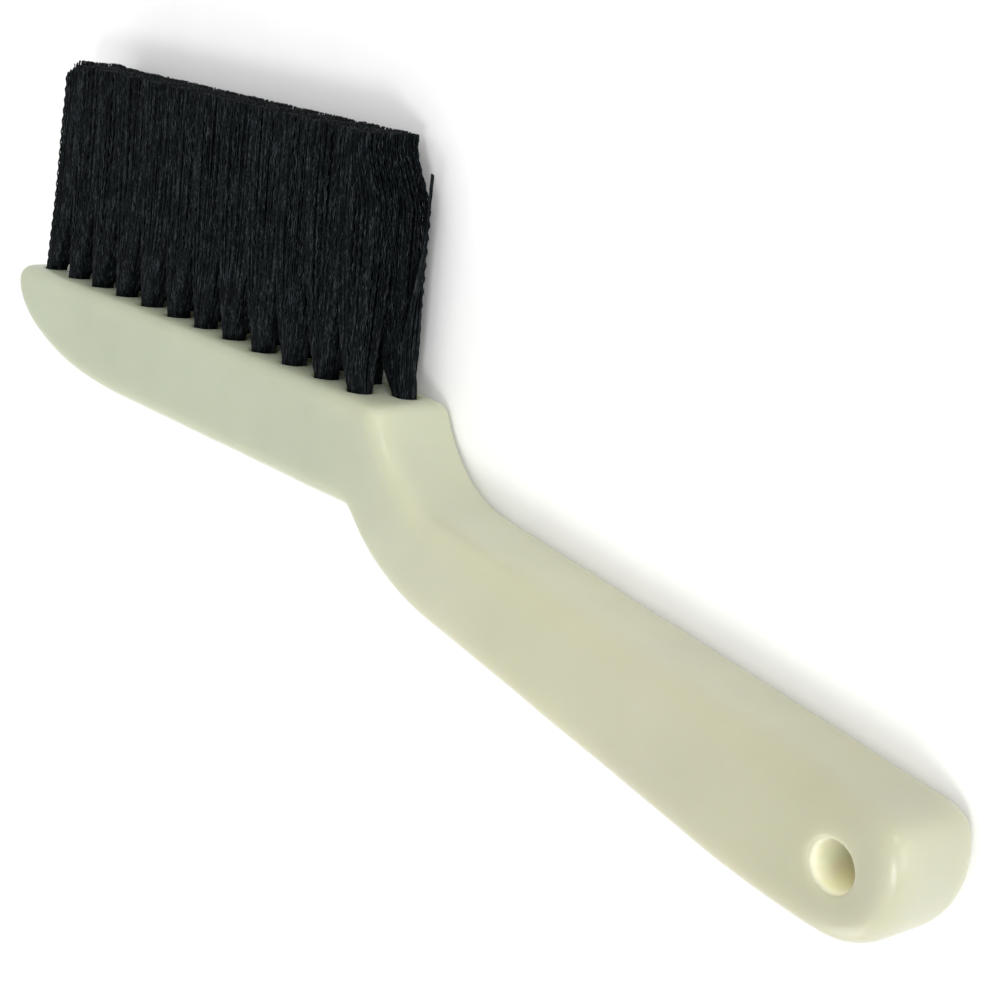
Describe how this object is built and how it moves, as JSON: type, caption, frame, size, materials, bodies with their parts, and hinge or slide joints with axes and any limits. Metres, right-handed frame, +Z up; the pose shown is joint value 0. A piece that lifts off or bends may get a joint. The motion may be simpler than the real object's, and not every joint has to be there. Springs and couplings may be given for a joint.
{
  "type": "bee brush",
  "caption": "Beekeeper's hand brush: moulded plastic back and angled handle with a hang hole, and two staggered rows of dark bristle tufts set with flat metal anchors.",
  "frame": {"origin": "on the surface the brush lies on, under the middle of the whole brush", "axes": "+X along the length from the tip of the head to the end of the handle, +Y the way the bristles point, +Z up, square to the two flat sides"},
  "size_m": [0.2748, 0.099, 0.0193],
  "materials": {
    "cream_plastic": "moulded translucent cream plastic, soft satin",
    "black_bristle": "crimped black filaments, slight sheen",
    "anchor_steel": "flat drawn wire, plain"
  },
  "bodies": {
    "root": {"moulded_body": "cream_plastic", "bristle_tuft_upper_01": "black_bristle", "bristle_tuft_upper_02": "black_bristle", "bristle_tuft_upper_03": "black_bristle", "bristle_tuft_upper_04": "black_bristle", "bristle_tuft_upper_05": "black_bristle", "bristle_tuft_upper_06": "black_bristle", "bristle_tuft_upper_07": "black_bristle", "bristle_tuft_upper_08": "black_bristle", "bristle_tuft_upper_09": "black_bristle", "bristle_tuft_upper_10": "black_bristle", "bristle_tuft_upper_11": "black_bristle", "bristle_tuft_upper_12": "black_bristle", "bristle_tuft_lower_01": "black_bristle", "bristle_tuft_lower_02": "black_bristle", "bristle_tuft_lower_03": "black_bristle", "bristle_tuft_lower_04": "black_bristle", "bristle_tuft_lower_05": "black_bristle", "bristle_tuft_lower_06": "black_bristle", "bristle_tuft_lower_07": "black_bristle", "bristle_tuft_lower_08": "black_bristle", "bristle_tuft_lower_09": "black_bristle", "bristle_tuft_lower_10": "black_bristle", "bristle_tuft_lower_11": "black_bristle", "bristle_tuft_lower_12": "black_bristle", "tuft_anchor_upper_01": "anchor_steel", "tuft_anchor_upper_02": "anchor_steel", "tuft_anchor_upper_03": "anchor_steel", "tuft_anchor_upper_04": "anchor_steel", "tuft_anchor_upper_05": "anchor_steel", "tuft_anchor_upper_06": "anchor_steel", "tuft_anchor_upper_07": "anchor_steel", "tuft_anchor_upper_08": "anchor_steel", "tuft_anchor_upper_09": "anchor_steel", "tuft_anchor_upper_10": "anchor_steel", "tuft_anchor_upper_11": "anchor_steel", "tuft_anchor_upper_12": "anchor_steel", "tuft_anchor_lower_01": "anchor_steel", "tuft_anchor_lower_02": "anchor_steel", "tuft_anchor_lower_03": "anchor_steel", "tuft_anchor_lower_04": "anchor_steel", "tuft_anchor_lower_05": "anchor_steel", "tuft_anchor_lower_06": "anchor_steel", "tuft_anchor_lower_07": "anchor_steel", "tuft_anchor_lower_08": "anchor_steel", "tuft_anchor_lower_09": "anchor_steel", "tuft_anchor_lower_10": "anchor_steel", "tuft_anchor_lower_11": "anchor_steel", "tuft_anchor_lower_12": "anchor_steel"}
  },
  "joints": []
}
